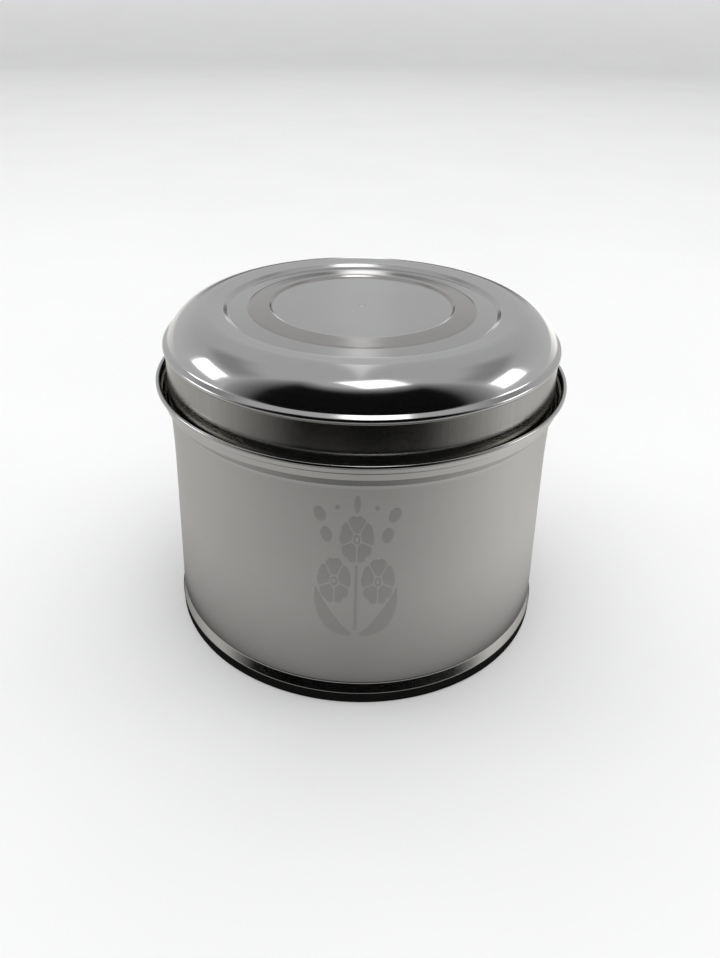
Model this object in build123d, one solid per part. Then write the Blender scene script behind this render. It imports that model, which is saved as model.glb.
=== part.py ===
from build123d import *
import os
from math import asin, cos, degrees, radians, sin, sqrt

# A round, deep spice box in thin stainless steel. A canister with a flared collar stands on a hemmed
# base pan. A domed lid drops into the collar. Inside are an inner plate with a riveted knob, a spoon
# and seven bowls, one in the middle and six around it.
# Millimetres, +Z up. The origin is on the floor, at the centre of the foot ring.

# Driving dimensions
SHEET = 0.7             # sheet thickness of the canister, the lid and the base pan
THIN_SHEET = 0.6        # sheet thickness of the bowls, the inner plate and the spoon
SEAT_GAP = 0.3          # gap where one loose piece rests on or in another

WALL_R = 75.0           # outside radius of the canister wall
WALL_FOOT_Z = 9.0       # lower edge of the wall
NECK_Z = 66.0           # where the wall starts to open out
NECK_R, WALL_TOP_Z = 75.8, 91.3     # where the wall ends and the collar starts
FLARE_FOOT = (76.1, 92.3)           # outside corners of the collar, as (radius, height)
FLARE_TOP = (78.2, 95.9)
STEP_FOOT = (78.75, 98.5)
STEP_TOP = (79.45, 99.1)
COLLAR_END = (80.3, 101.2)
LIP_R = 80.7            # outside radius of the rolled lip on top of the collar
LIP_TOP_Z = 102.5       # top of the rolled lip
LIP_ROLL = 0.75         # radius of the rolled lip's section
BEND_R = 0.9            # radius of the bends in the collar and in the lid's top

FOOT_R = 75.7           # outside radius of the foot hem
FOOT_H = 4.6            # height of the foot hem
FOOT_THICK = 2.2        # thickness of the folded foot hem
FOOT_CORNER = 0.4       # corner radius of the foot hem
PAN_FLOOR_Z = 2.6       # underside of the canister's floor
PAN_STEP_R = 60.0       # radius of the stiffening step in the floor
PAN_STEP_H = 0.8        # height of the stiffening step
PAN_TOP_Z = 16.0        # top edge of the pan's upstand, inside the wall

LID_TOP_Z = 128.7       # highest point of the lid, on the shoulder's crest
DISC_R, DISC_Z = 35.1, 127.8            # centre disc of the lid
RING_IN_R, RING_IN_Z = 36.1, 128.7      # raised ring round the disc, its inner edge
RING_OUT_R, RING_OUT_Z = 43.8, 127.95   # and its lower, outer edge
FIELD_R, FIELD_Z = 44.7, 127.65         # inner edge of the gently falling field
GROOVE_R, GROOVE_Z = 52.0, 127.0        # groove between the field and the shoulder
CREST_IN_R, CREST_IN_Z = 53.7, 128.4    # inner edge of the almost level crest
CREST_R = 59.9          # radius of the shoulder's crest
DOME_R = 16.4           # radius of the shoulder's arc
DOME_FROM, DOME_TO = 95.0, 21.0         # ends of that arc, in degrees from its centre
BEAD_R = 77.25          # outside radius of the bead
BEAD_Z = 116.6          # height of the bead's widest line
SKIRT_R = 76.3          # outside radius of the lid's skirt
SKIRT_TOP_Z = 115.0     # where the bead ends and the skirt starts
SKIRT_HEM_H = 3.0       # height of the hem at the skirt's lower edge
SKIRT_HEM = 0.5         # extra thickness of that hem, on the inside

BOWL_R = 24.3           # outside radius of a bowl's rolled lip
BOWL_WALL_R = 23.2      # outside radius of a bowl at the top of its wall
BOWL_FOOT_R = 21.6      # outside radius of a bowl at its floor
BOWL_H = 74.0           # height of a bowl
BOWL_CORNER = 5.0       # outside radius between a bowl's floor and wall
BOWL_LIP = 0.75         # radius of the rolled lip's section
BOWL_PITCH = 49.2       # from the middle bowl's axis to each of the others
OUTER_BOWLS = 6

PLATE_R = 73.3          # outside radius of the inner plate
PLATE_RIM_H = 4.0       # height of the plate's turned-up rim
PLATE_RIM_LIP = 0.7     # radius of the rim's rolled edge
PLATE_STEP_R = 66.0     # the plate is pressed up inside this radius
PLATE_STEP_H = 1.4

KNOB_H = 15.0           # height of the knob
KNOB_FOOT_R, KNOB_NECK_R, KNOB_HEAD_R = 5.5, 3.2, 8.5
KNOB_FOOT_H = 1.0       # height of the knob's foot, below the waist
KNOB_WAIST_Z = 6.0      # height of the narrowest place, above the plate
KNOB_RIM_Z = 9.9        # height of the head's rim, above the plate
KNOB_BORE_DEPTH = 9.0
RIVET_R = 1.5           # radius of the rivet's shank
RIVET_GAP = 0.05        # play between the shank and its holes
RIVET_END_GAP = 1.0     # from the end of the shank to the end of the knob's bore
RIVET_HEAD_R, RIVET_HEAD_H = 4.0, 1.2

SPOON_R = 12.5          # outside radius of the spoon's bowl at its rim
SPOON_DEPTH = 8.5       # depth of the spoon's bowl
SPOON_X, SPOON_Y = 38.0, 31.0   # axis of the spoon's bowl
SPOON_HANDLE = 86.0     # length of the handle beyond the bowl's axis
HANDLE_NECK_W, HANDLE_END_W = 5.0, 9.5
HANDLE_ARCH_X, HANDLE_ARCH_Z = 34.4, 10.5   # place of the arch's middle, from the bowl's axis
HANDLE_TIP_Z = 2.4      # height of the handle's end
HANDLE_THICK = 1.4

# Heights that follow from the driving dimensions
floor_top_z = PAN_FLOOR_Z + PAN_STEP_H + SHEET
bowl_z = floor_top_z + SEAT_GAP
plate_z = bowl_z + BOWL_H + SEAT_GAP
plate_top_z = plate_z + PLATE_STEP_H + THIN_SHEET
spoon_z = plate_top_z + SEAT_GAP
flare_r, flare_h = FLARE_TOP[0] - FLARE_FOOT[0], FLARE_TOP[1] - FLARE_FOOT[1]
flare_line_z = FLARE_FOOT[1] + (SKIRT_R - FLARE_FOOT[0]) * flare_h / flare_r    # flare's face at the skirt
skirt_foot_z = flare_line_z + (SHEET + SEAT_GAP) * sqrt(flare_r**2 + flare_h**2) / flare_r


def turned(edges):
    """Solid of revolution about Z from closed outline edges drawn as (radius, height)."""
    return revolve(Plane.XZ * make_face(edges), Axis.Z)


def chain(*points):
    """Straight edges from point to point."""
    return [Line(a, b) for a, b in zip(points, points[1:])]


def on_circle(centre, radius, angle):
    """Point on a circle in the outline plane, angle in degrees from the +radius direction."""
    return (centre[0] + radius * cos(radians(angle)), centre[1] + radius * sin(radians(angle)))


def sheet_outline(outer_edges, thickness, side):
    """Closed outline of a sheet whose outer face follows the given edges."""
    return offset(Wire(outer_edges), amount=thickness, side=side, closed=True).edges()


def cap(radius, rim_z, pole_z):
    """Arc of a sphere's section from the rim at the given radius to the pole on the axis."""
    rise = pole_z - rim_z
    sphere_r = (radius**2 + rise**2) / (2 * abs(rise))
    centre_z = pole_z - sphere_r * (1 if rise > 0 else -1)
    half_angle = degrees(asin(radius / sphere_r))
    pole_angle = 90 if rise > 0 else -90
    return CenterArc((0, centre_z), sphere_r, pole_angle, -half_angle if rise > 0 else half_angle)


def body_shell():
    """Canister wall, its slanted and stepped collar and the rolled lip, one piece open at both ends."""
    foot, neck, top = (WALL_R, WALL_FOOT_Z), (WALL_R, NECK_Z), (NECK_R, WALL_TOP_Z)
    opening = TangentArc(neck, top, tangent=(0, 1))
    collar = FilletPolyline(top, FLARE_FOOT, FLARE_TOP, STEP_FOOT, STEP_TOP, COLLAR_END, radius=BEND_R)
    path = [Line(foot, neck), opening, *collar.edges()]
    lip = turned([CenterArc((LIP_R - LIP_ROLL, LIP_TOP_Z - LIP_ROLL), LIP_ROLL, 0, 360)])
    return turned(sheet_outline(path, SHEET, Side.LEFT)) + lip


def base_pan():
    """Base pan: stepped floor, folded foot hem and an upstand pressed into the wall."""
    up_out = WALL_R - SHEET
    up_in = up_out - SHEET
    foot_in = FOOT_R - FOOT_THICK
    flank_z = WALL_FOOT_Z - SHEET
    edges = chain(
        (0, PAN_FLOOR_Z + PAN_STEP_H), (PAN_STEP_R, PAN_FLOOR_Z + PAN_STEP_H),
        (PAN_STEP_R + PAN_STEP_H, PAN_FLOOR_Z), (foot_in - FOOT_CORNER, PAN_FLOOR_Z),
        (foot_in, FOOT_CORNER), (foot_in + FOOT_CORNER, 0), (FOOT_R - 2 * FOOT_CORNER, 0),
        (FOOT_R - FOOT_CORNER, FOOT_CORNER), (FOOT_R, FOOT_H - FOOT_CORNER),
        (FOOT_R - FOOT_CORNER, FOOT_H), (up_out, flank_z), (up_out, PAN_TOP_Z), (up_in, PAN_TOP_Z),
        (up_in, FOOT_H), (up_in - 2 * SHEET, PAN_FLOOR_Z + SHEET),
        (PAN_STEP_R + PAN_STEP_H, PAN_FLOOR_Z + SHEET), (PAN_STEP_R, floor_top_z),
        (0, floor_top_z), (0, PAN_FLOOR_Z + PAN_STEP_H))
    return turned(edges)


def lid_line(inset):
    """Edges of the lid's section from the axis to the skirt's foot, set inwards by inset."""
    centre = (CREST_R, LID_TOP_Z - DOME_R)
    dome = CenterArc(centre, DOME_R - inset, DOME_FROM, DOME_TO - DOME_FROM)
    top = FilletPolyline(
        (0, DISC_Z - inset), (DISC_R, DISC_Z - inset), (RING_IN_R, RING_IN_Z - inset),
        (RING_OUT_R, RING_OUT_Z - inset), (FIELD_R, FIELD_Z - inset), (GROOVE_R, GROOVE_Z - inset),
        (CREST_IN_R, CREST_IN_Z - inset), on_circle(centre, DOME_R - inset, DOME_FROM), radius=BEND_R)
    bead_end = (SKIRT_R - inset, SKIRT_TOP_Z)
    bead = ThreePointArc(dome @ 1, (BEAD_R - inset, BEAD_Z), bead_end)
    return [*top.edges(), dome, bead, Line(bead_end, (SKIRT_R - inset, skirt_foot_z))]


def lid_shell():
    """One-piece drawn lid: disc, ring and field on top, domed shoulder, bead and straight skirt."""
    skirt_in = SKIRT_R - SHEET
    hem_in = skirt_in - SKIRT_HEM
    hem_top = skirt_foot_z + SKIRT_HEM_H
    rims = chain((SKIRT_R, skirt_foot_z), (skirt_in, skirt_foot_z)) + chain((0, DISC_Z - SHEET), (0, DISC_Z))
    shell = turned(lid_line(0) + rims + lid_line(SHEET))
    hem = turned(chain((skirt_in, skirt_foot_z), (skirt_in, hem_top), (hem_in, hem_top - SKIRT_HEM),
                       (hem_in, skirt_foot_z), (skirt_in, skirt_foot_z)))
    return shell + hem


def spice_bowl():
    """One deep cup with a rounded foot and a rolled lip, standing on the canister's floor."""
    corner = (BOWL_FOOT_R, 0)
    path = FilletPolyline((0, 0), corner, (BOWL_WALL_R, BOWL_H - BOWL_LIP), radius=BOWL_CORNER)
    cup = turned(sheet_outline(path.edges(), THIN_SHEET, Side.LEFT))
    lip = turned([CenterArc((BOWL_R - BOWL_LIP, BOWL_H - BOWL_LIP), BOWL_LIP, 0, 360)])
    return Pos(0, 0, bowl_z) * (cup + lip)


def inner_plate():
    """Inner plate that lies on the bowls: pressed-up middle, turned-up rim and a hole for the rivet."""
    hole = RIVET_R + RIVET_GAP
    rim_r = PLATE_R - PLATE_RIM_LIP
    path = FilletPolyline(
        (hole, PLATE_STEP_H), (PLATE_STEP_R, PLATE_STEP_H), (PLATE_STEP_R + PLATE_STEP_H, 0),
        (rim_r - PLATE_RIM_LIP, 0), (rim_r, PLATE_RIM_H - PLATE_RIM_LIP), radius=THIN_SHEET)
    plate = turned(sheet_outline(path.edges(), THIN_SHEET, Side.LEFT))
    edge = turned([CenterArc((rim_r, PLATE_RIM_H - PLATE_RIM_LIP), PLATE_RIM_LIP, 0, 360)])
    return Pos(0, 0, plate_z) * (plate + edge)


def plate_knob():
    """Turned knob on the inner plate, bored from below for the rivet."""
    bore = RIVET_R + RIVET_GAP
    foot_top = (KNOB_FOOT_R, KNOB_FOOT_H)
    edges = chain((bore, 0), (KNOB_FOOT_R, 0), foot_top)
    edges += [ThreePointArc(foot_top, (KNOB_NECK_R, KNOB_WAIST_Z), (KNOB_HEAD_R, KNOB_RIM_Z))]
    edges += [cap(KNOB_HEAD_R, KNOB_RIM_Z, KNOB_H)]
    edges += chain((0, KNOB_H), (0, KNOB_BORE_DEPTH), (bore, KNOB_BORE_DEPTH), (bore, 0))
    return Pos(0, 0, plate_top_z) * turned(edges)


def knob_rivet():
    """Rivet through the inner plate: its head is below the plate, its shank is in the knob."""
    head_top = plate_top_z - THIN_SHEET
    length = THIN_SHEET + KNOB_BORE_DEPTH - RIVET_END_GAP
    shank = Pos(0, 0, head_top) * Cylinder(RIVET_R, length, align=(Align.CENTER, Align.CENTER, Align.MIN))
    under = cap(RIVET_HEAD_R, head_top, head_top - RIVET_HEAD_H)
    head = turned([*chain((0, head_top - RIVET_HEAD_H), (0, head_top), (RIVET_HEAD_R, head_top)), under])
    return shank + head


def spice_spoon():
    """Small spoon lying on the inner plate, its handle running towards -X beside the knob."""
    outer = cap(SPOON_R, SPOON_DEPTH, 0)
    inner = cap(SPOON_R - THIN_SHEET, SPOON_DEPTH, THIN_SHEET)
    cup = turned([outer, inner, Line(outer @ 1, inner @ 1), Line(outer @ 0, inner @ 0)])

    root_x = THIN_SHEET - SPOON_R
    arch = (-HANDLE_ARCH_X, HANDLE_ARCH_Z)
    tip = (-SPOON_HANDLE, HANDLE_TIP_Z)
    top = ThreePointArc((root_x, SPOON_DEPTH), arch, tip)
    bottom = ThreePointArc((root_x, SPOON_DEPTH - HANDLE_THICK), (arch[0], arch[1] - HANDLE_THICK),
                           (tip[0], tip[1] - HANDLE_THICK))
    side_view = make_face([top, bottom, Line(top @ 0, bottom @ 0), Line(top @ 1, bottom @ 1)])
    half_end = HANDLE_END_W / 2
    half_neck = HANDLE_NECK_W / 2
    end_x = -SPOON_HANDLE + half_end
    plan = make_face([
        *chain((end_x, -half_end), (root_x, -half_neck), (root_x, half_neck), (end_x, half_end)),
        ThreePointArc((end_x, half_end), (-SPOON_HANDLE, 0), (end_x, -half_end))])
    strip = extrude(Plane.XZ * side_view, amount=HANDLE_END_W, both=True)
    handle = strip & extrude(plan, amount=4 * SPOON_DEPTH)
    return Pos(SPOON_X, SPOON_Y, spoon_z) * (cup + handle)


def write(node, shape):
    export_step(shape, f"parts/{node}.step")


write("body_shell", body_shell())
write("base_pan", base_pan())
write("lid_shell", lid_shell())
write("inner_plate", inner_plate())
write("plate_knob", plate_knob())
write("knob_rivet", knob_rivet())
write("spice_spoon", spice_spoon())
bowl = spice_bowl()
write("bowl_middle", bowl)
for number in range(OUTER_BOWLS):
    angle = number * 360 / OUTER_BOWLS
    place = Pos(BOWL_PITCH * cos(radians(angle)), BOWL_PITCH * sin(radians(angle)), 0)
    write(f"bowl_{number + 1}", place * bowl)
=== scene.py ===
import math

import bmesh
import bpy
from mathutils import Matrix, Vector


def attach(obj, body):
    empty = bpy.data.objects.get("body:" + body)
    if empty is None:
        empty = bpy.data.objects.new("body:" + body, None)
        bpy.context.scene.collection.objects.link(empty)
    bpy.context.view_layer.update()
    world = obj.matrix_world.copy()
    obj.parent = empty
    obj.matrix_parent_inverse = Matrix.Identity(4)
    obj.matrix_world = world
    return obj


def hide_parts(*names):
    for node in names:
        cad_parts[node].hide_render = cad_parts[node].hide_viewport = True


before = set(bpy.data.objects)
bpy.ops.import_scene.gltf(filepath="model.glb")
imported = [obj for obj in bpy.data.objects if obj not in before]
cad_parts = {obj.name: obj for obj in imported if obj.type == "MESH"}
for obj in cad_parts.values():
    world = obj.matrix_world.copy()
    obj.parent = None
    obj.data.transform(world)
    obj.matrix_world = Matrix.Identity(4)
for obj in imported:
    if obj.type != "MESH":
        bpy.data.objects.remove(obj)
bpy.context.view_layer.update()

# A deep round spice box in stainless steel, closed by a domed lid that sits in a flared collar.
# Outlines are in millimetres, as (distance from the axis, height); MM turns them into metres.

MM = 0.001
SHEET = 0.7
THIN_SHEET = 0.6
WALL_R = 75.0
TURNS = 288             # divisions round the large pieces
SMALL_TURNS = 128       # divisions round the bowls, the knob and the spoon
ARC_STEP = math.radians(9)
SUPPORT = 0.25          # distance of a supporting ring from the end of a straight run


# ---------------------------------------------------------------- outlines

def corner(r, z, radius=0.0, zone=0):
    """A corner of an outline, its rounding radius and the material zone that starts there."""
    return Vector((r, z)), radius, zone


def rounded(corners):
    """Open outline with each corner rounded, as (radius, height, zone)."""
    points = []
    last = len(corners) - 1
    for i, (p, radius, zone) in enumerate(corners):
        if radius == 0 or i in (0, last):
            points.append((p.x, p.y, zone))
            continue
        back, ahead = corners[i - 1][0] - p, corners[i + 1][0] - p
        turn = math.pi - back.angle(ahead)
        if turn < math.radians(1):
            points.append((p.x, p.y, zone))
            continue
        reach = min(radius * math.tan(turn / 2), 0.49 * back.length, 0.49 * ahead.length)
        radius = reach / math.tan(turn / 2)
        start = p + back.normalized() * reach
        to_centre = (back.normalized() + ahead.normalized()).normalized()
        centre = p + to_centre * (radius / math.cos(turn / 2))
        way = 1 if back.cross(ahead) < 0 else -1
        steps = max(2, math.ceil(turn / ARC_STEP))
        for k in range(steps + 1):
            q = centre + Matrix.Rotation(way * turn * k / steps, 2) @ (start - centre)
            points.append((q.x, q.y, zone))
    return supported(points)


def supported(points):
    """The outline with a ring near each end of every long straight run, to keep shading crisp."""
    out = [points[0]]
    for a, b in zip(points, points[1:]):
        run = Vector((b[0] - a[0], b[1] - a[1]))
        if run.length > 4 * SUPPORT:
            for share in (SUPPORT / run.length, 1 - SUPPORT / run.length):
                out.append((a[0] + run.x * share, a[1] + run.y * share, a[2]))
        out.append(b)
    return out


def piece_from(name, bm, materials):
    """Object with the mesh built in bm, which is used up, and one slot for each material."""
    mesh = bpy.data.meshes.new(name)
    for material in materials:
        mesh.materials.append(material)
    bm.to_mesh(mesh)
    bm.free()
    piece = bpy.data.objects.new(name, mesh)
    bpy.context.scene.collection.objects.link(piece)
    return piece


def lathe(name, points, materials, turns=TURNS, centre=(0, 0), closed=False, base=0.0):
    """Mesh of revolution from an outline in millimetres, with one material for each zone."""
    bm = bmesh.new()
    rings = []
    for r, z, _ in points:
        if r < 1e-6:
            rings.append([bm.verts.new((centre[0] * MM, centre[1] * MM, (z + base) * MM))])
            continue
        ring = []
        for k in range(turns):
            angle = 2 * math.pi * k / turns
            x, y = centre[0] + r * math.cos(angle), centre[1] + r * math.sin(angle)
            ring.append(bm.verts.new((x * MM, y * MM, (z + base) * MM)))
        rings.append(ring)
    pairs = list(zip(rings, rings[1:], points))
    if closed:
        pairs.append((rings[-1], rings[0], points[-1]))
    for lower, upper, (_, _, zone) in pairs:
        if len(lower) == len(upper) == 1:
            continue
        for k in range(turns):
            n = (k + 1) % turns
            loop = [lower[k % len(lower)], lower[n % len(lower)],
                    upper[n % len(upper)], upper[k % len(upper)]]
            face = bm.faces.new(list(dict.fromkeys(loop)))
            face.material_index = zone
            face.smooth = True
    bmesh.ops.recalc_face_normals(bm, faces=bm.faces)
    return piece_from(name, bm, materials)


# ---------------------------------------------------------------- materials

class Nodes:
    """Short ways to add and join shader nodes in one material."""

    def __init__(self, name):
        self.material = bpy.data.materials.new(name)
        self.material.use_nodes = True
        self.tree = self.material.node_tree
        self.tree.nodes.clear()

    def add(self, kind, **settings):
        node = self.tree.nodes.new(kind)
        for key, value in settings.items():
            setattr(node, key, value)
        return node

    def put(self, value, socket):
        if isinstance(value, bpy.types.NodeSocket):
            self.tree.links.new(value, socket)
        else:
            socket.default_value = value

    def math(self, operation, *values):
        node = self.add("ShaderNodeMath", operation=operation)
        for value, socket in zip(values, node.inputs):
            self.put(value, socket)
        return node.outputs[0]

    def spread(self, value, low, high, to_low, to_high):
        node = self.add("ShaderNodeMapRange", clamp=True)
        for v, key in zip((value, low, high, to_low, to_high),
                          ("Value", "From Min", "From Max", "To Min", "To Max")):
            self.put(v, node.inputs[key])
        return node.outputs[0]

    def noise(self, vector, scale, detail=4.0, roughness=0.5):
        node = self.add("ShaderNodeTexNoise")
        self.put(vector, node.inputs["Vector"])
        self.put(scale, node.inputs["Scale"])
        self.put(detail, node.inputs["Detail"])
        self.put(roughness, node.inputs["Roughness"])
        return node.outputs["Fac"]

    def vector(self, x, y, z):
        node = self.add("ShaderNodeCombineXYZ")
        for value, socket in zip((x, y, z), node.inputs):
            self.put(value, socket)
        return node.outputs[0]


def plan_distance(n, x, y):
    """Distance from the axis seen from above."""
    return n.math("SQRT", n.math("ADD", n.math("MULTIPLY", x, x), n.math("MULTIPLY", y, y)))


def turned_coordinates(n, centre):
    """Position parts for a turned piece: the plain position, cosine, sine, radius and height."""
    place = n.add("ShaderNodeTexCoord").outputs["Object"]
    split = n.add("ShaderNodeSeparateXYZ")
    n.put(place, split.inputs[0])
    x = n.math("SUBTRACT", split.outputs[0], centre[0] * MM)
    y = n.math("SUBTRACT", split.outputs[1], centre[1] * MM)
    r = n.math("MAXIMUM", plan_distance(n, x, y), 1e-5)
    return place, n.math("DIVIDE", x, r), n.math("DIVIDE", y, r), r, split.outputs[2]


def steel(name, colour, rough, spread=0.03, rings=0.0, streaks=0.0, waves=0.0, grain=0.0,
          scratches=0.0, anisotropy=0.0, centre=(0, 0)):
    """Stainless steel. rings are fine turning lines, streaks run along the axis or outwards, waves are
    the slow unevenness of drawn sheet, grain is a satin tooth; each is a bump height in micrometres."""
    n = Nodes(name)
    place, c, s, r, z = turned_coordinates(n, centre)
    shader = n.add("ShaderNodeBsdfPrincipled")
    shader.inputs["Metallic"].default_value = 1.0
    shader.inputs["Anisotropic"].default_value = anisotropy

    blotches = n.noise(place, 38.0, 5.0, 0.55)
    fine = n.noise(place, 900.0, 3.0, 0.6)
    ring_noise = n.noise(n.vector(n.math("MULTIPLY", c, 0.6), n.math("MULTIPLY", s, 0.6),
                                  n.math("MULTIPLY", n.math("ADD", r, z), 2600.0)), 1.0, 3.0, 0.7)
    streak_noise = n.noise(n.vector(n.math("MULTIPLY", c, 190.0), n.math("MULTIPLY", s, 190.0),
                                    n.math("MULTIPLY", z, 25.0)), 1.0, 4.0, 0.75)

    tone = n.spread(blotches, 0.3, 0.7, 0.965, 1.0)
    if streaks:
        tone = n.math("MULTIPLY", tone, n.spread(streak_noise, 0.3, 0.7, 0.90, 1.04))
    tint = n.add("ShaderNodeMix", data_type="RGBA", blend_type="MULTIPLY")
    tint.inputs["Factor"].default_value = 1.0
    n.put((*colour, 1.0), tint.inputs["A"])
    n.put(tone, tint.inputs["B"])
    n.put(tint.outputs["Result"], shader.inputs["Base Color"])

    mixed = n.math("ADD", n.math("MULTIPLY", blotches, 0.6), n.math("MULTIPLY", fine, 0.4))
    if rings:
        mixed = n.math("ADD", n.math("MULTIPLY", mixed, 0.6), n.math("MULTIPLY", ring_noise, 0.4))
    n.put(n.spread(mixed, 0.3, 0.7, rough - spread, rough + spread), shader.inputs["Roughness"])

    height = n.math("MULTIPLY", n.noise(place, 22.0, 2.0, 0.4), waves * 1e-6)
    for amount, source in ((rings, ring_noise), (streaks, streak_noise), (grain, fine)):
        if amount:
            height = n.math("ADD", height, n.math("MULTIPLY", source, amount * 1e-6))
    if scratches:
        height = n.math("ADD", height, n.math("MULTIPLY", scratch_lines(n, place), -scratches * 1e-6))
    bump = n.add("ShaderNodeBump")
    bump.inputs["Strength"].default_value = 1.0
    bump.inputs["Distance"].default_value = 1.0
    n.put(height, bump.inputs["Height"])
    n.put(bump.outputs[0], shader.inputs["Normal"])
    if anisotropy:
        tangent = n.add("ShaderNodeTangent", direction_type="RADIAL", axis="Z")
        n.put(tangent.outputs[0], shader.inputs["Tangent"])
    n.put(shader.outputs[0], n.add("ShaderNodeOutputMaterial").inputs[0])
    return n.material


def scratch_lines(n, place):
    """Sparse hairline marks: thin bands of a wave, bent and broken up by noise."""
    wave = n.add("ShaderNodeTexWave", wave_type="BANDS", bands_direction="DIAGONAL")
    n.put(place, wave.inputs["Vector"])
    wave.inputs["Scale"].default_value = 32.0
    wave.inputs["Distortion"].default_value = 9.0
    wave.inputs["Detail"].default_value = 2.0
    wave.inputs["Detail Scale"].default_value = 0.6
    line = n.spread(wave.outputs["Fac"], 0.992, 1.0, 0.0, 1.0)
    return n.math("MULTIPLY", line, n.spread(n.noise(place, 70.0, 2.0), 0.56, 0.62, 0.0, 1.0))


STEEL = (0.60, 0.60, 0.595)
satin_wall = steel("satin_wall", STEEL, 0.34, 0.04, rings=0.25, grain=0.15, waves=8.0, anisotropy=0.25)
inner_wall = steel("inner_wall", (0.56, 0.56, 0.55), 0.30, 0.05, rings=0.5, waves=6.0)
lip_steel = steel("lip_steel", STEEL, 0.085, 0.02, waves=4.0, rings=0.1)
# Painted shade and a painted warm reflection: the gutter's base colour is darker and yellower than the rest
# of the same drawn sheet.
gutter_steel_painted_shade = steel("gutter_steel_painted_shade", (0.58, 0.57, 0.53), 0.16, 0.04, streaks=1.6, waves=6.0)
foot_steel = steel("foot_steel", (0.64, 0.635, 0.62), 0.12, 0.04, streaks=0.3, waves=4.0)
pan_steel = steel("pan_steel", (0.58, 0.58, 0.57), 0.26, 0.05, rings=0.5, waves=10.0, scratches=1.0)
dome_steel = steel("dome_steel", (0.62, 0.62, 0.615), 0.13, 0.02, waves=5.0, rings=0.05)
top_steel = steel("top_steel", (0.60, 0.60, 0.595), 0.17, 0.04, waves=12.0, rings=0.15, scratches=0.8)
# Painted shade: the ring's base colour is darker and browner than the rest of the same drawn sheet, standing
# in for the dark reflections it shows.
ring_steel_painted_shade = steel("ring_steel_painted_shade", (0.50, 0.49, 0.475), 0.15, 0.04, waves=8.0, rings=0.15, scratches=0.6)
# Painted shade: the skirt's base colour is darker and browner than the dome of the same drawn sheet, standing
# in for the dark reflections it shows.
skirt_steel_painted_shade = steel("skirt_steel_painted_shade", (0.48, 0.475, 0.46), 0.20, 0.04, streaks=0.8, waves=4.0, anisotropy=0.7)
etched_steel = steel("etched_steel", (0.545, 0.545, 0.54), 0.42, 0.04, grain=3.0)
plate_steel = steel("plate_steel", STEEL, 0.24, 0.05, rings=0.5, waves=8.0, scratches=0.8)
knob_steel = steel("knob_steel", (0.62, 0.62, 0.615), 0.10, 0.03, rings=0.15)


# ---------------------------------------------------------------- canister

LIP_R, LIP_TOP = 80.7, 102.5
ROLL = 0.75             # section radius of the roll on top of the collar
NECK_Z, NECK_TOP = 66.0, 91.3       # between these heights the wall opens out a little
NECK_OPENING = 0.8


def wall_radius(z):
    """Outside radius of the wall at a height."""
    return WALL_R + NECK_OPENING * (max(0.0, z - NECK_Z) / (NECK_TOP - NECK_Z))**2


def canister_wall():
    """Wall, slanted and stepped collar and rolled lip: one drawn sheet, outside then inside."""
    inner = WALL_R - SHEET
    outer_lip = LIP_R - 0.03
    neck = (NECK_Z, 70.0, 74.0, 78.0, 82.0, 86.0, 89.0, NECK_TOP)
    satin, lip, gutter, inside = range(4)
    outline = rounded([
        corner(inner, 10.0, 0, inside), corner(inner, 9.0, 0.2, satin), corner(WALL_R, 9.0, 0.45, satin),
        *(corner(wall_radius(z), z, 0, satin) for z in neck),
        corner(76.0, 92.5, 1.0, lip), corner(78.2, 95.9, 0.8, lip),
        corner(78.74, 98.45, 0.4, lip), corner(79.4, 99.1, 0.5, lip), corner(79.95, 100.85, 0.15, lip),
        corner(80.3, 101.1, 0.2, lip), corner(outer_lip, 101.45, 0.4, lip),
        corner(outer_lip, LIP_TOP, ROLL, lip), corner(79.3, LIP_TOP, ROLL, lip),
        corner(79.3, 101.1, 0.3, lip), corner(78.75, 99.55, 0.6, gutter),
        corner(78.08, 98.85, 0.5, gutter), corner(77.55, 96.3, 1.2, gutter),
        corner(75.3, 92.75, 1.2, gutter), corner(75.08, 91.4, 0.8, inside),
        corner(inner, NECK_Z, 0, inside)])
    piece = lathe("canister_wall", outline, [satin_wall, lip_steel, gutter_steel_painted_shade, inner_wall], closed=True)
    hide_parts("body_shell")
    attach(piece, "canister")
    return piece


def foot_pan():
    """Base pan: stepped floor, folded foot hem, and the flank that rises into the wall."""
    foot, floor, inside = range(3)
    up = WALL_R - SHEET
    outline = rounded([
        corner(0, 3.4, 0, floor), corner(60.0, 3.4, 0.8, floor), corner(60.9, 2.6, 0.8, floor),
        corner(72.6, 2.6, 0.8, floor), corner(73.4, 0.0, 0.7, foot), corner(75.45, 0.0, 0.5, foot),
        corner(75.7, 4.6, 0.55, foot), corner(up - 0.25, 7.9, 0.9, foot), corner(up - 0.02, 9.2, 0.3, foot),
        corner(up - 0.02, 16.0, 0.2, inside), corner(up - SHEET, 16.0, 0.3, inside),
        corner(up - SHEET, 5.6, 1.0, inside), corner(72.2, 3.3, 1.2, inside), corner(60.7, 3.3, 0.8, inside),
        corner(59.8, 4.1, 0.8, inside), corner(0, 4.1, 0, inside)])
    piece = lathe("foot_pan", outline, [foot_steel, pan_steel, inner_wall])
    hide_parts("base_pan")
    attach(piece, "canister")
    return piece


# ---------------------------------------------------------------- lid

DOME_CENTRE = (59.9, 112.29)
DOME_R = 16.4
DOME_FROM, DOME_TO = math.radians(95), math.radians(21)
SKIRT_R, SKIRT_FOOT = 76.3, 94.63


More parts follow.
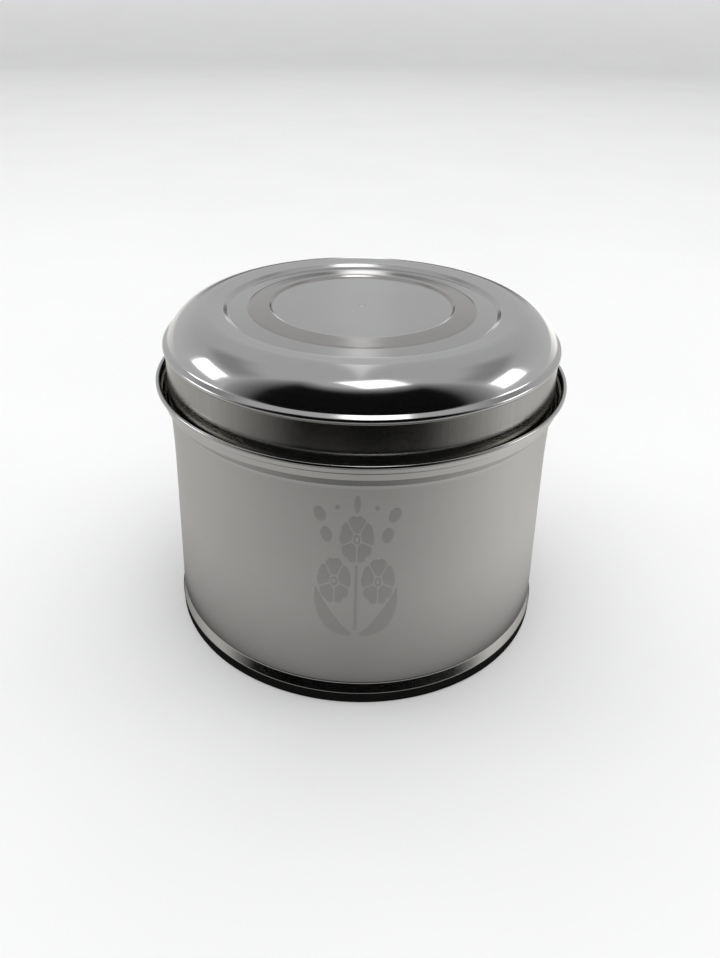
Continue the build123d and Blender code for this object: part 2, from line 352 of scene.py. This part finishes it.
def lid_drawn():
    """Lid in one drawn sheet: dimpled disc, ring, field, crest, domed shoulder, bead and skirt."""
    top, dome, skirt, inside, ring = range(5)

    def shoulder(inset, zone):
        steps = 48
        angles = [DOME_FROM + (DOME_TO - DOME_FROM) * k / steps for k in range(steps + 1)]
        return [corner(DOME_CENTRE[0] + (DOME_R - inset) * math.cos(a),
                       DOME_CENTRE[1] + (DOME_R - inset) * math.sin(a), 0, zone) for a in angles]

    def face(inset, zones):
        flat, bright, straight, raised = zones
        line = [
            corner(0, 127.62 - inset, 0, flat), corner(0.8, 127.64 - inset, 0.8, flat),
            corner(1.6, 127.8 - inset, 0.8, flat), corner(35.1, 127.8 - inset, 0.9, raised),
            corner(36.1, 128.66 - inset, 0.8, raised), corner(38.6, 128.48 - inset, 8.0, raised),
            corner(43.7, 127.97 - inset, 1.4, raised), corner(44.6, 127.65 - inset, 0.5, flat),
            corner(52.0, 127.0 - inset, 0.8, flat), corner(53.7, 128.38 - inset, 0.9, bright),
            corner(56.0, 128.53 - inset, 6.0, bright)]
        line += shoulder(inset, bright)
        line += [
            corner(75.5 - inset, 117.92, 0.2, bright), corner(77.0 - inset, 116.92, 0.9, bright),
            corner(77.25 - inset, 116.4, 0.5, bright), corner(77.2 - inset, 115.8, 0.5, bright),
            corner(SKIRT_R - inset, 115.0, 0.5, straight)]
        return line

    hem_in = SKIRT_R - SHEET - 0.5
    outline = rounded(
        face(0, (top, dome, skirt, ring))
        + [corner(SKIRT_R, SKIRT_FOOT, 0.35, skirt), corner(hem_in, SKIRT_FOOT, 0.35, inside),
           corner(hem_in, SKIRT_FOOT + 2.6, 0.3, inside),
           corner(SKIRT_R - SHEET, SKIRT_FOOT + 3.1, 0.3, inside)]
        + face(SHEET, (inside, inside, inside, inside))[::-1])
    piece = lathe("lid_drawn", outline, [top_steel, dome_steel, skirt_steel_painted_shade, inner_wall, ring_steel_painted_shade])
    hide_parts("lid_shell")
    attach(piece, "lid")
    return piece


# ---------------------------------------------------------------- things inside

BOWL_H, BOWL_LIP_R = 74.0, 24.3
BOWL_PITCH = 49.2
BOWL_FLOOR = 4.4
PLATE_Z = 78.7
PLATE_TOP = 80.7
RIVET_HOLE = 1.56       # radius of the hole through the plate and up into the knob


def spice_bowl(number, centre):
    """One spun cup with a rolled lip; each has its own finish, centred on its own axis."""
    outside, inside = range(2)
    wall, lip_z, roll = 23.2, BOWL_H - 0.75, 0.75
    outline = rounded([
        corner(0, 0.35, 0, outside), corner(14.0, 0.35, 2.0, outside), corner(14.6, 0, 1.0, outside),
        corner(21.6, 0, 5.0, outside), corner(wall, lip_z - roll, 0.4, outside),
        corner(BOWL_LIP_R, lip_z - roll, roll, outside), corner(BOWL_LIP_R, BOWL_H, roll, outside),
        corner(wall - THIN_SHEET, BOWL_H, roll, inside), corner(wall - THIN_SHEET, lip_z - roll, 0.4, inside),
        corner(21.0, THIN_SHEET, 4.4, inside), corner(14.6, THIN_SHEET, 1.0, inside),
        corner(14.0, 0.95, 2.0, inside), corner(0, 0.95, 0, inside)])
    name = "middle" if number == 0 else str(number)
    outer = steel(f"bowl_outside_{name}", (0.61, 0.61, 0.605), 0.16, 0.04,
                  rings=0.3, waves=5.0, centre=centre)
    inner = steel(f"bowl_inside_{name}", (0.58, 0.58, 0.575), 0.24, 0.05,
                  rings=0.6, waves=4.0, centre=centre)
    piece = lathe(f"bowl_spun_{name}", outline, [outer, inner], SMALL_TURNS, centre, base=BOWL_FLOOR)
    node = f"bowl_{name}"
    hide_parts(node)
    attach(piece, node)
    return piece


def inner_plate():
    """Plate over the bowls: pressed-up middle with a ring, and a turned-up, rolled rim."""
    rim, roll, top = 73.3, 0.7, 4.0

    def face(lift):
        return [corner(RIVET_HOLE, 1.4 + lift, 0), corner(7.0, 1.4 + lift, 0.5),
                corner(7.6, 1.1 + lift, 0.5), corner(9.4, 1.1 + lift, 0.5),
                corner(10.0, 1.4 + lift, 0.5), corner(65.6, 1.4 + lift, 1.0),
                corner(67.2, lift, 1.0), corner(71.4, lift, 1.1)]

    outline = rounded(
        face(0)
        + [corner(rim - roll, top - 2.0 * roll, 0.3), corner(rim, top - 2.0 * roll, roll),
           corner(rim, top, roll), corner(rim - 2 * roll, top, roll),
           corner(72.1 - THIN_SHEET, 2.2, 0.5)]
        + face(THIN_SHEET)[::-1])
    piece = lathe("plate_pressed", outline, [plate_steel], closed=True, base=PLATE_Z)
    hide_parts("inner_plate")
    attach(piece, "plate")
    return piece


def plate_knob():
    """Turned knob with a waist, bored from below, and the rivet that holds it."""
    knob = lathe("knob_turned", rounded([
        corner(RIVET_HOLE, 0, 0), corner(5.5, 0, 0.25), corner(5.45, 0.9, 0.4), corner(3.25, 3.0, 2.2),
        corner(3.25, 7.0, 2.4), corner(8.4, 9.6, 0.5), corner(8.45, 10.7, 0.7), corner(6.4, 13.4, 5.0),
        corner(2.4, 14.95, 5.0), corner(0, 14.98, 0), corner(0, 9.0, 0), corner(RIVET_HOLE, 9.0, 0)]),
        [knob_steel], SMALL_TURNS, closed=True, base=PLATE_TOP)
    rivet = lathe("rivet_headed", rounded([
        corner(0, -1.75, 0), corner(2.6, -1.6, 2.0), corner(3.95, -0.75, 0.5), corner(3.98, -0.62, 0.1),
        corner(1.5, -0.62, 0), corner(1.5, 8.0, 0.3), corner(0, 8.0, 0)]),
        [knob_steel], SMALL_TURNS, base=PLATE_TOP)
    for piece, node in ((knob, "plate_knob"), (rivet, "knob_rivet")):
        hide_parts(node)
        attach(piece, "plate")


SPOON_AT = (38.0, 31.0)
SPOON_R, SPOON_DEPTH = 12.5, 8.5
SPOON_Z = PLATE_TOP + 0.3
HANDLE_LENGTH = 86.0


def spoon_pressed():
    """Pressed spoon: a round cup with a rolled edge and a narrow arched handle."""
    sphere = (SPOON_R**2 + SPOON_DEPTH**2) / (2 * SPOON_DEPTH)
    half = math.asin(SPOON_R / sphere)
    steps = 20

    def shell(radius, steps_up):
        return [corner(radius * math.sin(half * k / steps), sphere - radius * math.cos(half * k / steps))
                for k in steps_up]

    rim = [corner(SPOON_R - 0.05, SPOON_DEPTH, 0), corner(SPOON_R - 0.3, SPOON_DEPTH + 0.02, 0)]
    inner = shell(sphere - THIN_SHEET, range(steps, -1, -1))
    inner[-1] = corner(0, THIN_SHEET)
    outline = rounded([corner(0, 0)] + shell(sphere, range(1, steps)) + rim + inner)
    material = steel("spoon_steel", (0.62, 0.62, 0.615), 0.13, 0.03,
                     waves=5.0, scratches=0.6, centre=SPOON_AT)
    cup = lathe("spoon_cup", outline, [material], SMALL_TURNS, SPOON_AT, base=SPOON_Z)
    handle = spoon_handle(material)
    for piece in (cup, handle):
        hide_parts("spice_spoon")
        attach(piece, "spoon")


def circle_height(x, a, b, c):
    """Height at x of the circle through three points, on the side of the middle one."""
    d = 2 * (a[0] * (b[1] - c[1]) + b[0] * (c[1] - a[1]) + c[0] * (a[1] - b[1]))
    sa, sb, sc = (p[0]**2 + p[1]**2 for p in (a, b, c))
    ux = (sa * (b[1] - c[1]) + sb * (c[1] - a[1]) + sc * (a[1] - b[1])) / d
    uy = (sa * (c[0] - b[0]) + sb * (a[0] - c[0]) + sc * (b[0] - a[0])) / d
    radius = math.hypot(a[0] - ux, a[1] - uy)
    return uy + math.copysign(math.sqrt(radius**2 - (x - ux)**2), b[1] - uy)


def spoon_handle(material):
    """Arched flat handle, widening to a round end, its edges rolled down a little."""
    root = THIN_SHEET - SPOON_R
    ends = ((root, SPOON_DEPTH), (-0.4 * HANDLE_LENGTH, SPOON_DEPTH + 2.0), (-HANDLE_LENGTH, 2.4))
    neck, wide, thick = 2.5, 4.75, 1.3
    stations, around = 60, 20
    bm = bmesh.new()
    rings = []
    for k in range(stations + 1):
        share = 1 - (1 - k / stations)**1.6
        x = root + 0.8 - (HANDLE_LENGTH + root + 0.75) * share
        width = neck + (wide - neck) * ((root - x) / (HANDLE_LENGTH + root))**1.3 if x < root else neck
        to_end = (x + HANDLE_LENGTH) / wide
        if to_end < 1:
            width *= math.sqrt(max(1e-4, 1 - (1 - to_end)**2))
        top = circle_height(min(x, root), *ends)
        ring = []
        for j in range(around):
            a = 2 * math.pi * j / around
            across = math.copysign(abs(math.cos(a))**0.7, math.cos(a))
            up = math.copysign(abs(math.sin(a))**0.7, math.sin(a))
            sag = 0.25 * across**2 * min(1.0, width / neck)
            ring.append(bm.verts.new(((SPOON_AT[0] + x) * MM, (SPOON_AT[1] + width * across) * MM,
                                      (SPOON_Z + top - thick / 2 + thick / 2 * up - sag) * MM)))
        rings.append(ring)
    for a, b in zip(rings, rings[1:]):
        for j in range(around):
            n = (j + 1) % around
            bm.faces.new((a[j], a[n], b[n], b[j]))
    bm.faces.new(rings[0])
    bm.faces.new(rings[-1])
    bmesh.ops.recalc_face_normals(bm, faces=bm.faces)
    for face in bm.faces:
        face.smooth = True
    return piece_from("spoon_handle", bm, [material])


# ---------------------------------------------------------------- etched spray of flowers

ETCH_OUT, ETCH_IN = 0.035, 0.05     # how far the etched film stands out of and reaches into the wall
STRIP = 1.5                         # widest facet of the film, so that it follows the round wall


def petal_outline(turn, spread, width, height, notch):
    """Broad notched petal about a flower's centre, as points in the flat."""
    points = []
    steps = 14
    for k in range(steps + 1):
        t = 2 * k / steps - 1
        reach = 1.0 - 0.10 * abs(t)**4 - notch * math.exp(-(t / 0.16)**2)
        angle = turn + t * spread
        points.append((width * reach * math.cos(angle), height * reach * math.sin(angle)))
    for t, reach in ((0.96, 0.60), (0.86, 0.34), (0.0, 0.27), (-0.86, 0.34), (-0.96, 0.60)):
        angle = turn + t * spread
        points.append((width * reach * math.cos(angle), height * reach * math.sin(angle)))
    return points


def flower(x, z, width, height, first, petals=5):
    """Petals round an open ring."""
    shapes = []
    for k in range(petals):
        turn = first + 2 * math.pi * k / petals
        spread = 0.92 * math.pi / petals
        outline = petal_outline(turn, spread, width, height, 0.08 + 0.04 * (k % 2))
        shapes.append([(x + px, z + pz) for px, pz in outline])
    for k in range(8):
        a, b = (2 * math.pi * (k + e) / 8 for e in (0.04, 0.96))
        shapes.append([(x + width * q * math.cos(t), z + height * q * math.sin(t))
                       for q, t in ((0.11, a), (0.20, a), (0.20, (a + b) / 2), (0.20, b), (0.11, b))])
    return shapes


def blade(points, widths):
    """Leaf or stem: a band of changing half width along a bent line."""
    left, right = [], []
    steps = 16
    (x0, z0), (x1, z1), (x2, z2) = points
    for k in range(steps + 1):
        t = k / steps
        x = (1 - t)**2 * x0 + 2 * t * (1 - t) * x1 + t * t * x2
        z = (1 - t)**2 * z0 + 2 * t * (1 - t) * z1 + t * t * z2
        dx = 2 * (1 - t) * (x1 - x0) + 2 * t * (x2 - x1)
        dz = 2 * (1 - t) * (z1 - z0) + 2 * t * (z2 - z1)
        length = math.hypot(dx, dz)
        root, belly, tip = widths
        half = (1 - t)**2 * root + 2 * t * (1 - t) * belly + t * t * tip
        left.append((x - dz / length * half, z + dx / length * half))
        right.append((x + dz / length * half, z - dx / length * half))
    return left + right[::-1]


def bud(x, z, half_width, half_height, tilt):
    """Oval bud."""
    tilt = math.radians(tilt)
    points = []
    for k in range(20):
        a = 2 * math.pi * k / 20
        px, pz = half_width * math.cos(a), half_height * math.sin(a)
        points.append((x + px * math.cos(tilt) - pz * math.sin(tilt),
                       z + px * math.sin(tilt) + pz * math.cos(tilt)))
    return points


def spray_shapes():
    """The spray in the flat, alike on both sides: x along the wall from its front line, z the height."""
    shapes = flower(0, 71.0, 5.9, 9.6, math.radians(90))
    shapes.append(blade(((0, 33.0), (0, 46.0), (0, 60.4)), (0.7, 0.6, 0.45)))
    shapes.append(bud(0, 85.2, 1.1, 3.4, 0))
    for side in (-1, 1):
        shapes += flower(side * 7.6, 53.6, 5.9, 9.6, math.radians(90))
        leaf = (side * 1.5, 31.0), (side * 11.5, 33.5), (side * 14.2, 50.5)
        shapes.append(blade(leaf, (0.5, 5.0, 0.05)))
        shapes.append(bud(side * 10.4, 72.6, 1.9, 3.1, side * -12))
        shapes.append(bud(side * 12.6, 80.6, 2.0, 3.0, side * -20))
        shapes.append(bud(side * 6.6, 83.6, 0.8, 0.9, 0))
    return shapes


def etched_spray():
    """Matte film of the spray, wrapped round the wall's front."""
    bm = bmesh.new()
    for points in spray_shapes():
        bm.faces.new([bm.verts.new((x, 0, z)) for x, z in points])
    bmesh.ops.triangulate(bm, faces=bm.faces)
    low = min(v.co.x for v in bm.verts)
    high = max(v.co.x for v in bm.verts)
    for k in range(1, math.ceil((high - low) / STRIP)):
        bmesh.ops.bisect_plane(bm, geom=[*bm.verts, *bm.edges, *bm.faces], dist=1e-5,
                               plane_co=(low + k * STRIP, 0, 0), plane_no=(1, 0, 0))
    bmesh.ops.recalc_face_normals(bm, faces=bm.faces)
    thick = bmesh.ops.extrude_face_region(bm, geom=bm.faces[:])
    front = {v for v in thick["geom"] if isinstance(v, bmesh.types.BMVert)}
    for v in bm.verts:
        angle = v.co.x / WALL_R
        r = wall_radius(v.co.z) + (ETCH_OUT if v in front else -ETCH_IN)
        v.co = Vector((r * math.sin(angle), -r * math.cos(angle), v.co.z)) * MM
    bmesh.ops.recalc_face_normals(bm, faces=bm.faces)
    piece = piece_from("etched_spray", bm, [etched_steel])
    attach(piece, "canister")
    return piece


# ---------------------------------------------------------------- studio

def look(azimuth, elevation):
    """Unit vector towards a direction seen from the box: azimuth 0 is the camera's side, 90 is +X."""
    a, e = math.radians(azimuth), math.radians(elevation)
    return Vector((math.sin(a) * math.cos(e), -math.cos(a) * math.cos(e), math.sin(e)))


BOX_CENTRE = Vector((0, 0, 0.11))
ROOM_CENTRE = Vector((0, 0, 0.12))
ROOM_R = 2.7
SCREEN_R, SCREEN_TOP, SCREEN_HALF = 0.8, 2.6, 76    # radius, height and half width in degrees
TABLE_IN, TABLE_WIDTH, TABLE_Z = 0.02, 2.5, -0.0005
FLOOR_R, SWEEP = 3.0, 1.5                           # flat part of the floor and the curve up round it


def softbox(name, azimuth, elevation, distance, width, height, radiance, colour):
    """Rectangular light that faces the box."""
    data = bpy.data.lights.new(name, "AREA")
    data.shape = "RECTANGLE"
    data.size, data.size_y = width, height
    data.energy = radiance * math.pi * width * height
    data.color = colour
    lamp = bpy.data.objects.new(name, data)
    towards = look(azimuth, elevation)
    lamp.location = BOX_CENTRE + towards * distance
    lamp.rotation_euler = towards.to_track_quat("Z", "Y").to_euler()
    bpy.context.scene.collection.objects.link(lamp)
    return lamp


def emitter(name, colour, strength):
    """Plain glowing surface for a studio card; strength may be a shader value made by a function."""
    n = Nodes(name)
    glow = n.add("ShaderNodeEmission")
    glow.inputs["Color"].default_value = (*colour, 1.0)
    n.put(strength(n) if callable(strength) else strength, glow.inputs["Strength"])
    n.put(glow.outputs[0], n.add("ShaderNodeOutputMaterial").inputs[0])
    return n.material


def only_reflected(piece):
    """Seen in the steel's reflections and nowhere else."""
    piece.visible_camera = False
    piece.visible_diffuse = False
    piece.visible_shadow = False
    piece.visible_transmission = False
    piece.visible_volume_scatter = False


def grid_piece(name, rows, columns, place, material):
    """Sheet of quads whose points come from place(u, v), with u and v from 0 to 1."""
    bm = bmesh.new()
    verts = [[bm.verts.new(place(i / columns, j / rows)) for i in range(columns + 1)]
             for j in range(rows + 1)]
    for j in range(rows):
        for i in range(columns):
            bm.faces.new((verts[j][i], verts[j][i + 1], verts[j + 1][i + 1], verts[j + 1][i]))
    for face in bm.faces:
        face.smooth = True
    return piece_from(name, bm, [material])


SURROUND = 0.52         # radiance of the room as the steel sees it


def around(n):
    """Where a studio card's point lies: signed azimuth in degrees, 0 in front, and the plan radius."""
    split = n.add("ShaderNodeSeparateXYZ")
    n.put(n.add("ShaderNodeTexCoord").outputs["Object"], split.inputs[0])
    x, y, z = split.outputs
    azimuth = n.math("ARCTAN2", x, n.math("MULTIPLY", y, -1.0))
    return n.math("DEGREES", azimuth), plan_distance(n, x, y), z


def hump(n, value, rise_from, rise_to, fall_from, fall_to):
    """1 between rise_to and fall_from, 0 outside, soft between."""
    return n.math("MULTIPLY", n.spread(value, rise_from, rise_to, 0.0, 1.0),
                  n.spread(value, fall_from, fall_to, 1.0, 0.0))


def total(n, *values):
    """Sum of several values."""
    result = values[0]
    for value in values[1:]:
        result = n.math("ADD", result, value)
    return result


def table_glow(n):
    """Table as the steel sees it, with painted light and shade: a painted contact shadow against the foot,
    painted shade in front, black beyond its front edge.
    """
    azimuth, r, _ = around(n)
    turn = n.math("ABSOLUTE", azimuth)
    # Painted light and shade: near is a painted contact shadow against the foot, level paints shade in front,
    # and right paints uneven light round the right-hand side.
    near = total(n, n.spread(r, 0.081, 0.087, 0.02, 0.66), n.spread(r, 0.087, 0.125, 0.0, 0.34))
    level = total(n, n.spread(turn, 0.0, 80.0, 0.40, 0.58), n.spread(turn, 120.0, 150.0, 0.0, 0.30))
    right = total(n, n.spread(azimuth, 20.0, 75.0, 0.0, 0.17), n.spread(azimuth, 100.0, 125.0, 0.0, -0.15),
                  n.spread(azimuth, 128.0, 150.0, 0.0, 0.40))
    beyond = n.math("MULTIPLY", n.spread(r, 0.215, 0.25, 0.0, 1.0), n.spread(turn, 30.0, 80.0, 1.0, 0.0))
    lit = n.math("MULTIPLY", near, n.math("ADD", level, right))
    return n.math("MULTIPLY", lit, n.math("SUBTRACT", 1.0, beyond))


def screen_glow(n):
    """Dark screen on the camera's side, fading to the room's grey at its sides and top."""
    azimuth, _, z = around(n)
    side = n.spread(n.math("ABSOLUTE", azimuth), 55.0, 76.0, 0.0, 0.40)
    return n.math("MAXIMUM", side, n.spread(z, 1.45, 2.6, 0.0, 0.45))


def room_glow(n):
    """Grey room: darker above the softboxes, with a narrow bright gap straight behind the box."""
    azimuth, r, z = around(n)
    turn = n.math("ABSOLUTE", azimuth)
    tilt = n.math("DEGREES", n.math("ARCTAN2", n.math("SUBTRACT", z, ROOM_CENTRE.z), r))
    above = n.math("MULTIPLY", hump(n, tilt, 33.0, 40.0, 48.0, 58.0),
                   hump(n, turn, 78.0, 90.0, 126.0, 140.0))
    gap = n.spread(turn, 177.2, 178.8, 0.0, 1.0)
    flanks = n.math("MULTIPLY", hump(n, turn, 158.0, 166.0, 177.0, 178.5),
                    hump(n, tilt, -4.0, 1.0, 7.5, 11.0))
    gap_level = total(n, n.spread(tilt, 8.0, 12.0, 1.15, 0.04), n.spread(tilt, 25.0, 30.0, 0.0, 0.40))
    return total(n, n.spread(tilt, 10.0, 30.0, 0.60, SURROUND), n.math("MULTIPLY", above, -0.20),
                 n.math("MULTIPLY", gap, gap_level), n.math("MULTIPLY", flanks, -0.45))


def paper_material():
    """Pale matte paper that lightens as the floor curves up."""
    n = Nodes("paper")
    sheet = n.add("ShaderNodeBsdfDiffuse")
    place = n.add("ShaderNodeTexCoord").outputs["Object"]
    n.put(n.spread(n.noise(place, 6.0, 3.0), 0.3, 0.7, 0.86, 0.88), sheet.inputs["Color"])
    lift = n.add("ShaderNodeEmission")
    height = n.add("ShaderNodeSeparateXYZ")
    n.put(place, height.inputs[0])
    n.put(n.spread(height.outputs[2], 0.0, 1.2, 0.0, 0.5), lift.inputs["Strength"])
    both = n.add("ShaderNodeAddShader")
    n.put(sheet.outputs[0], both.inputs[0])
    n.put(lift.outputs[0], both.inputs[1])
    n.put(both.outputs[0], n.add("ShaderNodeOutputMaterial").inputs[0])
    return n.material


def floor_place(u, v):
    """Flat to FLOOR_R in the first half of v, then a quarter circle upwards."""
    angle = 2 * math.pi * u
    arc = max(0.0, v - 0.5) * 2
    r = FLOOR_R * min(1.0, v * 2) + SWEEP * math.sin(arc * math.pi / 2)
    z = SWEEP * (1 - math.cos(arc * math.pi / 2))
    return (r * math.cos(angle), r * math.sin(angle), z)


def table_place(u, v):
    angle = 2 * math.pi * u
    r = TABLE_IN + TABLE_WIDTH * v
    return (r * math.cos(angle), r * math.sin(angle), TABLE_Z)


def screen_place(u, v):
    angle = math.radians(-SCREEN_HALF + 2 * SCREEN_HALF * u)
    return (SCREEN_R * math.sin(angle), -SCREEN_R * math.cos(angle), SCREEN_TOP * v)


def room_place(u, v):
    """Dome from a little under level to nearly overhead, all the way round."""
    return ROOM_CENTRE + look(-180 + 360 * u, -5 + 94.5 * v) * ROOM_R


def studio():
    """Pale floor that curves up far away, three soft lamps and a fill for the floor, and the glowing
    table, dark screen and room that only the steel's reflections show."""
    scene = bpy.context.scene
    world = bpy.data.worlds.new("studio_air")
    world.use_nodes = True
    air = world.node_tree.nodes["Background"]
    air.inputs["Color"].default_value = (0.99, 0.995, 1.0, 1.0)
    air.inputs["Strength"].default_value = SURROUND
    scene.world = world

    floor = grid_piece("floor", 40, 96, floor_place, paper_material())
    floor.visible_glossy = False
    floor.visible_diffuse = False
    floor.visible_shadow = False

    for name, rows, columns, place, glow, colour, strength in (
            ("table_reflected", 4, 64, table_place, "table_glow", (1.0, 0.985, 0.955), table_glow),
            ("dark_screen", 12, 48, screen_place, "screen_glow", (1.0, 1.0, 1.0), screen_glow),
            ("room_reflected", 24, 64, room_place, "room_glow", (0.99, 0.995, 1.0), room_glow)):
        only_reflected(grid_piece(name, rows, columns, place, emitter(glow, colour, strength)))

    softbox("left_softbox", -97, 22.0, 1.1, 0.42, 0.34, 2.5, (0.98, 0.99, 1.0))
    softbox("right_softbox", 93, 22.5, 1.1, 0.38, 0.34, 2.5, (1.0, 0.995, 0.985))
    softbox("overhead", 35, 82, 1.3, 0.42, 0.40, 2.0, (1.0, 1.0, 1.0))
    fill = softbox("floor_fill", 180, 88, 2.6, 4.0, 4.0, 1.2, (1.0, 1.0, 1.0))
    fill.visible_glossy = False
    scene.view_settings.view_transform = "Standard"


def camera():
    """Camera close in front and above, held a touch off level; the box sits low in its frame.
    Lengths are in metres and angles in radians."""
    distance, height = 0.31468, 0.23969
    pitch, yaw, roll = 0.4001, -0.0202, 0.0142
    data = bpy.data.cameras.new("camera")
    data.lens = 32.134
    data.sensor_width = 36.0
    data.shift_x, data.shift_y = 0.0156, -0.1299
    data.clip_start, data.clip_end = 0.01, 50.0
    eye = bpy.data.objects.new("camera", data)
    ahead = Vector((math.sin(yaw) * math.cos(pitch), math.cos(yaw) * math.cos(pitch), -math.sin(pitch)))
    level = ahead.cross(Vector((0, 0, 1))).normalized()
    upright = level.cross(ahead)
    right = level * math.cos(roll) + upright * math.sin(roll)
    up = upright * math.cos(roll) - level * math.sin(roll)
    turn = Matrix((right, up, -ahead)).transposed()
    eye.matrix_world = Matrix.Translation((0, -distance, height)) @ turn.to_4x4()
    bpy.context.scene.collection.objects.link(eye)
    bpy.context.scene.camera = eye


studio()
camera()
canister_wall()
foot_pan()
lid_drawn()
etched_spray()
inner_plate()
plate_knob()
spoon_pressed()
spice_bowl(0, (0.0, 0.0))
for number in range(1, 7):
    angle = math.radians(60 * (number - 1))
    spice_bowl(number, (BOWL_PITCH * math.cos(angle), BOWL_PITCH * math.sin(angle)))
